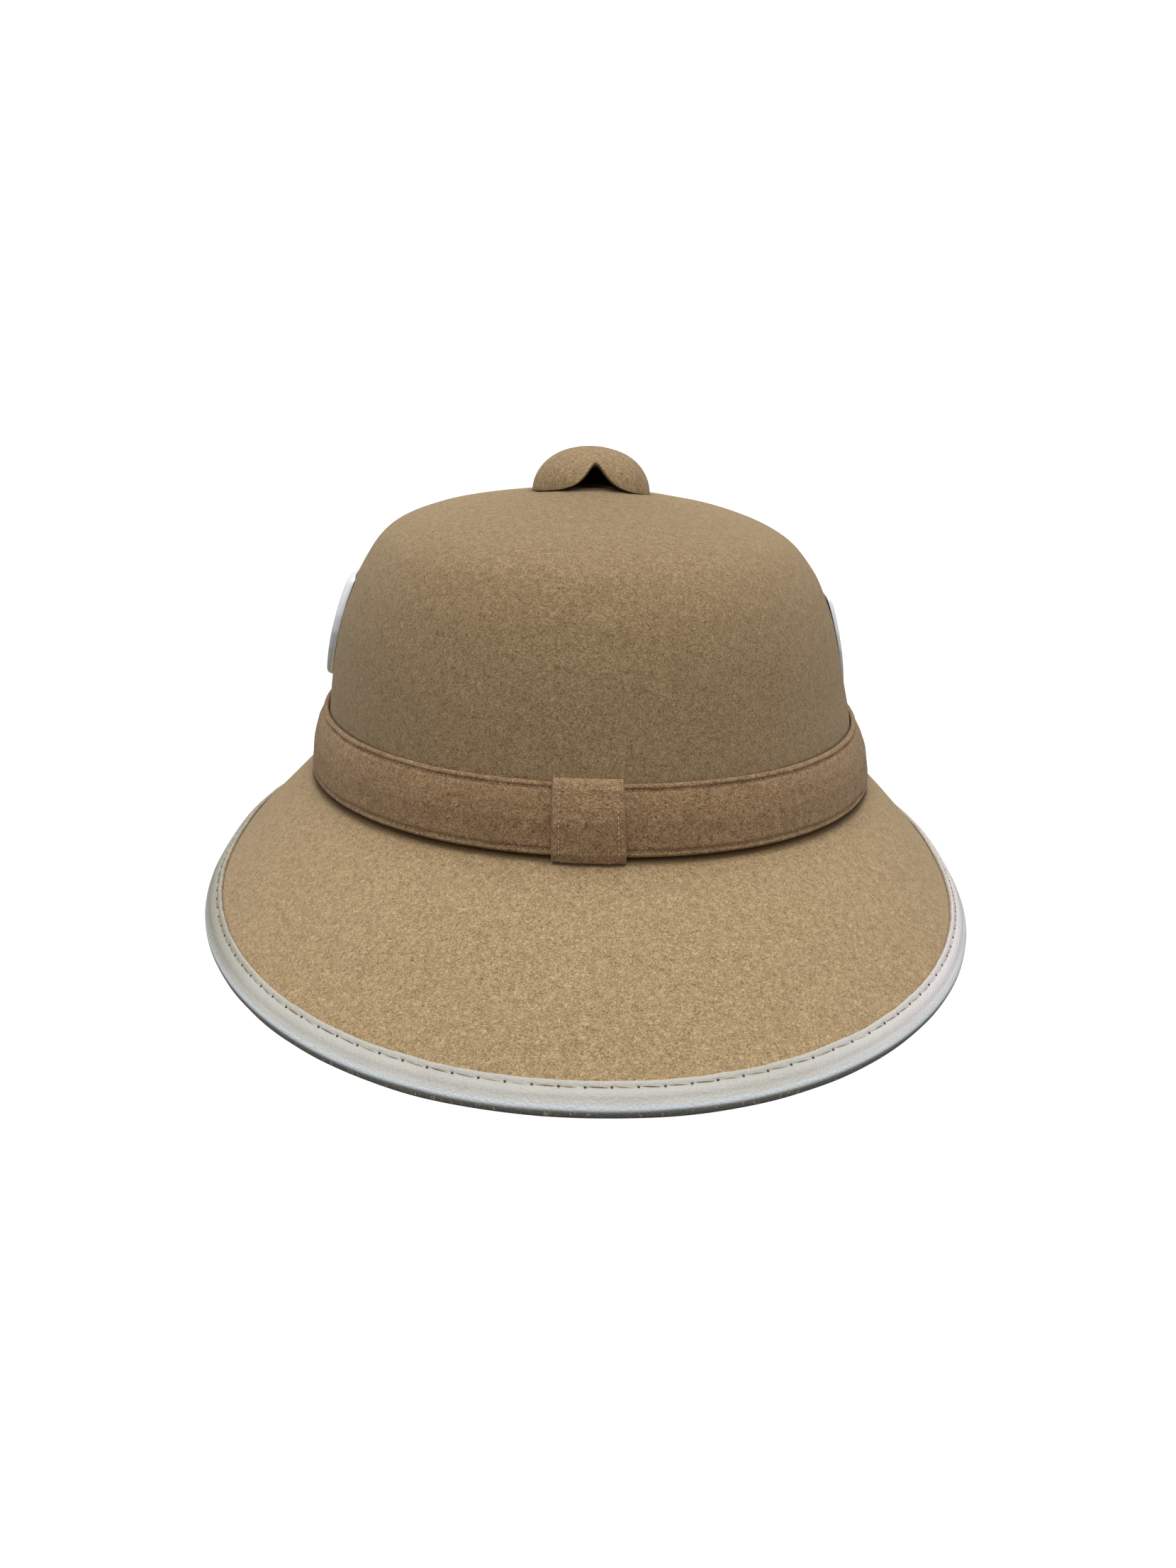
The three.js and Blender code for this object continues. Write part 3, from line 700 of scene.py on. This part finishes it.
def stitch_row(name, ends, normals, thickness, rise, steps=6, skew=0.0, fill=0.62):
    """Stitches from each point to the next, arched over the surface and dipping at both ends."""
    start, end = ends[:-1], ends[1:]
    sideways = np.cross(unit(end - start), normals[:-1])
    share = np.linspace(0, 1, steps)[None, :, None]
    slant = (skew + 0.3 * skew * rng.standard_normal((len(start), 1, 1))) * (share - 0.5)
    arch = rise * np.sin(math.pi * share) ** 0.6 - rise * 0.75
    path = mix(start[:, None], end[:, None], 0.5 + fill * (share - 0.5))
    path = path + normals[:-1, None] * arch + sideways[:, None] * slant
    radius = thickness / 2 * (0.55 + 0.45 * np.sin(math.pi * np.linspace(0, 1, steps)) ** 0.5)
    return tubes(name, path, radius[None, :], normals[:-1, None])


def thread(name, pale, deep):
    """Twisted thread, its pale colour soiled in places to a deeper one."""
    made, shader, add = material(name)
    place = add("ShaderNodeTexCoord").outputs["Object"]
    dirt = speckle(add, place, 160.0, detail=3.0)[0]
    add.link(blend(add, span(add, dirt, 0.38, 0.62), deep, pale), shader.inputs["Base Color"])
    twist = add("ShaderNodeTexWave", {"Vector": place, "Scale": 900.0, "Distortion": 2.0}).outputs[1]
    raise_surface(add, shader, twist, distance=0.05, strength=0.5)
    shader.inputs["Roughness"].default_value = 0.8
    return made


hole_angle = np.interp((np.arange(stitches + 1)) / stitches * rim_length, around, angles)
_, _, _, hole_width, hole_leg = binding_rows(hole_angle)
seam_point, seam_normal = leg_frame(hole_angle, seam_inset, hole_leg, hole_width)
seam_top = seat_gap + leather_thickness - seam_dip
binding_seam = stitch_row(
    "binding_seam",
    seam_point + seam_normal * (seam_top + linen_height),
    seam_normal,
    thickness=linen_thickness,
    rise=linen_rise,
    steps=7,
    skew=0.35,
    fill=0.88,
)
binding_seam.data.materials.append(thread("linen_thread", (0.62, 0.55, 0.4, 1), (0.2, 0.13, 0.07, 1)))
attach(binding_seam, "root")

hole_slope = np.cross(seam_normal, unit(np.roll(seam_point, -1, 0) - seam_point))
hole_from = seam_point + seam_normal * (seam_top - hole_below) - hole_slope * hole_inward
hole_to = seam_point + seam_normal * (seam_top + hole_above) + hole_slope * hole_outward
hole_share = np.linspace(0, 1, len(HOLE_RADII))[None, :, None]
# The dark plugs in the needle holes are painted shade, standing in for the depth of each hole.
needle_holes = tubes(
    "needle_holes",
    mix(hole_from[:-1, None], hole_to[:-1, None], hole_share),
    np.array(HOLE_RADII)[None, :],
    seam_normal[:-1, None],
)
hole_dark, shader, add = material("needle_hole_shadow")
place = add("ShaderNodeTexCoord").outputs["Object"]
deep = blend(add, speckle(add, place, 400.0)[0], hole_black, hole_brown)
add.link(deep, shader.inputs["Base Color"])
shader.inputs["Roughness"].default_value = 0.9
needle_holes.data.materials.append(hole_dark)
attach(needle_holes, "root")


# Felt band: a soft strip of redder felt, turned in along both edges and sewn, then laid round the foot of
# the crown. It is thin along its top edge and full lower down, and its foot sits where the brim begins.
band_thickness = 3.2
band_foot_thickness = 1.8
band_gap = 0.45
top_seam_inset = 1.7
foot_seam_inset = 1.8
band_turns = 720
band_rows, band_back_rows = 70, 9
search_rounds = 26
STAND_DOWN = (0, 1.2, 2.6, 5.6, 10, band_height)
STAND_OUT = (1.9, 2.1, 2.4, 3.5, 4.3, 4.4)
top_round, top_thin, top_pinch = 0.9, 0.55, 0.65
foot_round, foot_thin, foot_pinch = 1.3, 0.72, 0.6
BAND_RUMPLE = ((0.34, 17, 21), (0.16, 6, 22))


def search(low, high, is_past, shape):
    """For each place, the value between low and high where is_past turns true."""
    low, high = np.full(shape, float(low)), np.full(shape, float(high))
    for _ in range(search_rounds):
        middle = (low + high) / 2
        past = is_past(middle)
        low, high = np.where(past, low, middle), np.where(past, middle, high)
    return low


def wall_point(angle, height, out):
    """The crown's wall at a height, moved outward level. Below the crease it goes straight down."""
    angle, height = np.broadcast_arrays(np.asarray(angle, float), np.asarray(height, float))
    climb = search(0, 0.9, lambda c: crown_point(angle, c)[..., 2] >= height, angle.shape)
    point = crown_point(angle, climb)
    turn = crown_point(angle + small_step, climb) - crown_point(angle - small_step, climb)
    outward = unit(np.stack([turn[..., 1], -turn[..., 0], 0 * height], -1))
    point[..., 2] = height
    return point + outward * np.asarray(out)[..., None], outward


def band_level(angle, share):
    return band_foot(angle) + share * band_height


def quarter_round(share):
    """The height of a rounded edge, from 0 at the edge to 1 where the rounding ends."""
    return np.sqrt(np.clip(1 - (1 - np.clip(share, 0, 1)) ** 2, 0, 1))


def band_stand(share):
    """How far the band's face stands off the wall at a share of its height: thin at the top, full below."""
    up, down = share * band_height, (1 - share) * band_height
    out = np.interp(down, STAND_DOWN, STAND_OUT)
    top_edge, foot_edge = quarter_round(down / top_round), quarter_round(up / foot_round)
    return out * mix(top_thin, 1, top_edge) * mix(foot_thin, 1, foot_edge)


def band_out(share):
    """The same with the two sewn lines drawn in."""
    up, down = share * band_height, (1 - share) * band_height
    pinch = top_pinch * hump(down, top_seam_inset, 0.55) + foot_pinch * hump(up, foot_seam_inset, 0.6)
    return band_stand(share) - pinch


def band_point(angle, share, out):
    return wall_point(angle, band_level(angle, share), out)


def between_edges(share):
    """1 over the band's face, falling to 0 at its two turned edges."""
    return smooth_step(0, 0.1, share) * smooth_step(1, 0.9, share)


def edge_wander(angle, share):
    """How far the upper half of the band rises and falls round the crown."""
    ring = np.stack([100 * np.sin(angle), 100 * np.cos(angle), 0 * angle], -1)
    return 0.25 * waves(ring, 15, 24) * smooth_step(0.5, 1, share)


angles = round_angles(band_turns)
face_share = 0.5 - 0.5 * np.cos(np.linspace(0, math.pi, band_rows))
face_out = band_out(face_share)[:, None] + 0 * angles[None, :]
point, outward = band_point(angles[None, :], face_share[:, None], face_out)
soft = between_edges(face_share)[:, None]
rumple = swells(point, *BAND_RUMPLE)
pucker = 0.1 * waves(point, 2.6, 23)
point = point + outward * (rumple * soft + pucker * (1 - 0.5 * soft))[..., None]
point[..., 2] += edge_wander(angles, face_share[:, None])


def felt_at_height(angle, height):
    """Points on the felt's outer face, a gap away, where it passes a height."""
    place = search(-0.9, 1, lambda a: outer_point(angle, a)[..., 2] <= height, np.shape(height))
    surface, square, _ = outer_frame(angle, place)
    return surface + square * band_gap


def leaves_room(share):
    """Whether the felt's curve leaves the band its full thickness at a share of the band's height."""
    level = band_level(angles, share)
    wall, _ = wall_point(angles, level, 0 * angles)
    room = float(band_out(np.array(0.0))) - band_foot_thickness
    return np.linalg.norm(felt_at_height(angles, level) - wall, axis=-1) <= room


foot_share = search(0, 0.6, leaves_room, angles.shape)
back_shares = [mix(foot_share, 1 + 0 * foot_share, share) for share in np.linspace(0.985, 0, band_back_rows)]
back = [felt_at_height(angles, band_level(angles, share)) for share in back_shares]
band_points = np.concatenate([point, np.stack(back)])
band_nap = nap_place(angles[None, :], lengths(band_points[:, 0])[:, None])
band_darkening = mix(0.16, 0.0, np.abs(np.sin(angles)))[None, :] + 0.06 * waves(band_points, 22, 25)
band = new_piece(
    "hat_band",
    band_points,
    grid_faces(len(band_points), band_turns, close_rows=True),
    {"nap": band_nap, "darkening": np.clip(band_darkening, 0, 1)[..., None]},
)
band_felt = felt(
    "band_felt",
    dark=(0.09, 0.051, 0.023, 1),
    light=(0.56, 0.364, 0.196, 1),
    patch=(0.46, 0.38, 0.3, 1),
    streak=0.3,
    raised=0.22,
)
band.data.materials.append(band_felt)
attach(band, "root")
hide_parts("band")


# Band seams: two rows of fine machine stitches in faded cream cotton, one inside each turned edge. They are
# pulled into the soft felt, which swells on both sides of them.
seam_stitch = 1.8
seam_radius = 97.5
BAND_SEAMS = {
    "band_seam_top": 1 - top_seam_inset / band_height,
    "band_seam_foot": foot_seam_inset / band_height,
}
cotton = thread("cotton_thread", (0.66, 0.53, 0.35, 1), (0.4, 0.29, 0.17, 1))
faded_cotton = thread("faded_cotton_thread", (0.5, 0.37, 0.23, 1), (0.24, 0.16, 0.09, 1))
stitch_count = round(2 * math.pi * seam_radius / seam_stitch)
stitch_angle = (np.arange(stitch_count + 1)) * 2 * math.pi / stitch_count
for name, share in BAND_SEAMS.items():
    out = band_out(np.array(share)) + 0 * stitch_angle
    ends, outward = band_point(stitch_angle, share + 0 * stitch_angle, out)
    rumple = swells(ends, *BAND_RUMPLE) * between_edges(share)
    ends = ends + outward * (rumple + 0.12)[:, None]
    ends[:, 2] += edge_wander(stitch_angle, share)
    seam = stitch_row(name, ends, outward, thickness=0.32, rise=0.28, skew=0.2)
    seam.data.materials.append(faded_cotton)
    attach(seam, "root")


# Keeper: a short doubled strip of the band's felt that wraps the band at the front, over its top edge and
# down past its foot, where it is tucked in. It is sewn down along both sides with fine cream cotton.
keeper_width = 20.5
keeper_thickness = 1.7
keeper_overhang = 1.2
keeper_cover = 0.8
keeper_tuck = 0.64
keeper_seam_inset = 2.0
keeper_columns, keeper_rows = 60, 84
keeper_stitches = 14
half_share = keeper_width / 2 / (crown_half_width + band_thickness)
half_angle = math.asin(half_share ** (crown_squareness / 2))


def keeper_grid(thickness):
    """One face of the keeper: out over the band's top edge, down its face and on past its foot."""
    turn = np.linspace(-1, 1, keeper_columns)
    angle = np.sign(turn) * np.abs(turn) ** (crown_squareness / 2) * half_angle
    top = 1 + (seat_gap + (keeper_cover if thickness else 0)) / band_height
    lip = band_stand(0.97) + seat_gap
    over = seat_gap + thickness
    knots = [
        # how far along the strip, share of the band's height, how far off the wall
        (0, top, seat_gap),
        (0.03, top, seat_gap + 0.45 * lip),
        (0.06, top - 0.25 / band_height, lip + 0.3 * thickness),
        (0.09, 0.985, lip + 0.8 * thickness),
        (0.13, 0.95, band_stand(0.95) + over),
    ]
    for share in np.linspace(0.92, 0.07, 24):
        knots.append((mix(0.13, 0.93, (0.95 - share) / 0.88), share, band_stand(share) + over))
    knots.append((1.0, -keeper_overhang / band_height, band_stand(0.0) + keeper_tuck + over))
    at, share, out = np.array(knots).T
    travel = np.linspace(0, 1, keeper_rows)
    share, out = (np.interp(travel, at, values)[:, None] + 0 * angle[None, :] for values in (share, out))
    grid, outward = band_point(angle[None, :], share, out)
    return grid, outward, turn, travel


def sheet_faces(rows, columns):
    """The front, the back and the rim of a sheet, whose two grids of points follow one another."""
    count = rows * columns
    rim = [
        [k for k in range(columns)],
        [columns - 1 + k * columns for k in range(rows)],
        [count - 1 - k for k in range(columns)],
        [(rows - 1 - k) * columns for k in range(rows)],
    ]
    faces = grid_faces(rows, columns, 0, close_columns=False)
    faces += grid_faces(rows, columns, count, close_columns=False, flip=True)
    faces += [[a, b, b + count, a + count] for line in rim for a, b in zip(line[:-1], line[1:])]
    return faces


front, outward, turn, travel = keeper_grid(keeper_thickness)
behind, _, _, _ = keeper_grid(0.0)
from_side = (1 - np.abs(turn)) * keeper_width / 2
rounding = -0.8 * (1 - quarter_round(from_side / 0.8))
seam_pinch = -0.42 * hump(from_side, keeper_seam_inset, 0.6)
relief = (rounding + seam_pinch)[None, :] + swells(front, (0.14, 5, 31), (0.18, 12, 32))
front = front + outward * (relief * smooth_step(0, 0.05, travel)[:, None])[..., None]
keeper_points = np.concatenate([front, behind])
# Painted shade: the keeper grows darker towards its lower end.
keeper_shade = np.tile(0.17 * smooth_step(0.1, 0.7, travel)[:, None, None], (2, keeper_columns, 1))
keeper = new_piece(
    "band_loop",
    keeper_points,
    sheet_faces(keeper_rows, keeper_columns),
    {"nap": keeper_points, "darkening": keeper_shade},
)
keeper.data.materials.append(band_felt)
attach(keeper, "root")
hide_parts("band_keeper")

stitch_rows = (np.linspace(0.1, 0.955, keeper_stitches) * (keeper_rows - 1)).astype(int)
for side, name in ((-1, "loop_seam_left"), (1, "loop_seam_right")):
    column = np.argmin(np.abs(turn - side * (1 - keeper_seam_inset / (keeper_width / 2))))
    square = outward[stitch_rows, column]
    ends = front[stitch_rows, column] + square * 0.1
    seam = stitch_row(name, ends, square, thickness=0.3, rise=0.26, skew=0.12)
    seam.data.materials.append(cotton)
    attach(seam, "root")


# Vent hood: a small cap of the shell's felt, moulded to a dome, that covers the vent hole. Its hem is lifted
# at the front into a bell shaped arch to let air out. Its outside is painted a little darker, and its inside
# dark as painted shade.
hood_height = 11.6
hood_thickness = 2.2
arch_height = 7.9
arch_half_width = 4.6
arch_turn = math.radians(5)
arch_sharpness = 2.4
hood_turns = 200
hood_rows = 56
hood_darkening_outside, hood_shade_inside = 0.24, 0.9
HOOD_SWELLS = ((0.3, 11, 41), (0.12, 4, 42))


def crown_height_at(x, y):
    """The height of the crown's outer face over a place in plan."""

    def is_outside(place):
        _, half, long, sway = np.moveaxis(smooth_rows(CROWN, place * (len(CROWN) - 1)), -1, 0)
        across = np.abs((x + sway * crown_half_width) / (half * crown_half_width))
        ahead = np.abs((y - centre_y) / (long * crown_half_length))
        return across**crown_squareness + ahead**crown_squareness >= 1

    place = search(0.5, 1, is_outside, np.shape(x))
    return mix(crease_side, crown_top, smooth_rows(CROWN, place * (len(CROWN) - 1))[..., 0]) - ground


def hem_lift(turn):
    """How far the hem is lifted: a bell shaped arch at the front, and nothing at the sides and the rear."""
    away = turn - arch_turn
    bell = 1 / (1 + np.abs(hood_radius * np.sin(away) / arch_half_width) ** arch_sharpness)
    at_side = 1 / (1 + (hood_radius / arch_half_width) ** arch_sharpness)
    return np.where(np.cos(away) > 0, arch_height * (bell - at_side) / (1 - at_side), 0)


def hood_face(radius, height, rows):
    """One face of the hood, from its top down to the hem, settled on to the crown."""
    turn = round_angles(hood_turns)
    share = np.linspace(0, 1, rows + 1)[1:, None]
    climb = share * np.arccos(hem_lift(turn) / hood_height)[None, :]
    out, up = radius * np.sin(climb), height * np.cos(climb)
    x, y = hood_x + out * np.sin(turn), hood_y - out * np.cos(turn)
    settle = (crown_top - ground - crown_height_at(x, y) + seat_gap) * (1 - up / height)
    return np.stack([x, y, crown_top - ground + seat_gap + up - settle], -1)


hood_out = hood_face(hood_radius, hood_height, hood_rows)
hood_in = hood_face(hood_radius - hood_thickness, hood_height - hood_thickness, hood_rows // 2)
hood_foot = np.array([hood_x, hood_y, crown_top - ground + seat_gap])
swell = swells(hood_out, *HOOD_SWELLS) * np.linspace(1, 0.2, hood_rows)[:, None]
hood_out = hood_out + unit(hood_out - hood_foot) * swell[..., None]
poles = np.stack([hood_foot + [0, 0, hood_height], hood_foot + [0, 0, hood_height - hood_thickness]])
hood_points = np.concatenate([hood_out.reshape(-1, 3), hood_in[::-1].reshape(-1, 3), poles])
hood_ring_count = len(hood_out) + len(hood_in)
top_pole, under_pole = len(hood_points) - 2, len(hood_points) - 1
last_ring = (hood_ring_count - 1) * hood_turns
hood_faces = grid_faces(hood_ring_count, hood_turns)
hood_faces += [[top_pole, k, (k + 1) % hood_turns] for k in range(hood_turns)]
hood_faces += [[under_pole, last_ring + (k + 1) % hood_turns, last_ring + k] for k in range(hood_turns)]
hood_counts = [len(hood_out) * hood_turns, len(hood_in) * hood_turns, 1, 1]
# Painted shade inside the hood; the outside a little darker.
hood_darkening = np.repeat([hood_darkening_outside, hood_shade_inside] * 2, hood_counts)
hood = new_piece("vent_cap", hood_points, hood_faces, {"nap": hood_points, "darkening": hood_darkening[:, None]})
hood.data.materials.append(crown_felt)
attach(hood, "root")
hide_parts("vent_hood")


# Side shields: plain plates stamped from light metal, one on each side of the crown. They are dished so that
# the rim turns back to the felt, and pinned on from behind by pins that don't show.
shield_height = 34
shield_width = 31
dish_width = 2.6
rim_share = 0.12
plate_rows, plate_columns = 56, 44
bright_metal, dull_metal = (0.93, 0.95, 0.96, 1), (0.74, 0.79, 0.81, 1)
SHIELDS = (
    # name, node, side, ahead, top, top gap, foot gap, thickness at the top, at the foot
    ("plate_left", "shield_left", -1, 3, 109.4, 0.1, 0.05, 2.2, 2.5),
    ("plate_right", "shield_right", 1, -10, 105.8, 0.8, 0.05, 1.5, 0.9),
)
OUTLINE_DOWN = (0.0, 0.15, 0.35, 0.52, 0.68, 0.82, 0.93, 1.0)
OUTLINE_HALF = (1.0, 1.0, 0.99, 0.95, 0.84, 0.64, 0.4, 0.14)


def crown_side_at(side, ahead, height):
    """How far out the crown's wall is on one side, at a place ahead of its middle and a height."""
    rise = (height + ground - crease_side) / (crown_top - crease_side)
    place = search(0, len(CROWN) - 1, lambda p: smooth_rows(CROWN, p)[..., 0] >= rise, rise.shape)
    _, half, long, sway = np.moveaxis(smooth_rows(CROWN, place), -1, 0)
    share = np.abs(ahead / (long * crown_half_length)) ** crown_squareness
    return half * crown_half_width * (1 - share) ** (1 / crown_squareness) - side * sway * crown_half_width


def plate_face(side, ahead, top, top_gap, foot_gap, lifts):
    """One face of a plate. lifts are how far it stands off the plate's rear at the top and at the foot."""
    down = np.linspace(0, 1, plate_rows)[:, None]
    across = np.linspace(-1, 1, plate_columns)[None, :]
    half = np.interp(down, OUTLINE_DOWN, OUTLINE_HALF) * shield_width / 2
    forward = ahead + across * half
    height = top - ground - down * shield_height + 0 * across
    gap = mix(top_gap, foot_gap, down)
    from_side, from_end = (1 - np.abs(across)) * half, np.minimum(down, 1 - down) * shield_height
    rim = quarter_round(np.minimum(from_side, from_end) / dish_width)
    dish = mix(*lifts, down) * mix(rim_share, 1, rim)
    x = side * (crown_side_at(side, forward, height) + gap + dish)
    return np.stack([x, centre_y - forward, height], -1)


plate_metal, shader, add = material("plate_metal")
place = add("ShaderNodeTexCoord").outputs["Object"]
cloud = speckle(add, place, 90.0, detail=4.0, roughness=0.6)[0]
tarnish = span(add, cloud, 0.45, 0.75, to_high=0.6)
add.link(blend(add, tarnish, bright_metal, dull_metal), shader.inputs["Base Color"])
scratches = speckle(add, place, 700.0, detail=4.0, roughness=0.7)[0]
raise_surface(add, shader, scratches, distance=0.03, strength=0.4)
add.link(span(add, cloud, 0.3, 0.7, 0.32, 0.52), shader.inputs["Roughness"])
shader.inputs["Metallic"].default_value = 0.8

for name, node, side, ahead, top, top_gap, foot_gap, top_lift, foot_lift in SHIELDS:
    face = plate_face(side, ahead, top, top_gap, foot_gap, (top_lift, foot_lift))
    rear = plate_face(side, ahead, top, top_gap, foot_gap, (0.0, 0.0))
    plate = new_piece(name, np.concatenate([face, rear]), sheet_faces(plate_rows, plate_columns))
    plate.data.materials.append(plate_metal)
    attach(plate, "root")
    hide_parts(node)
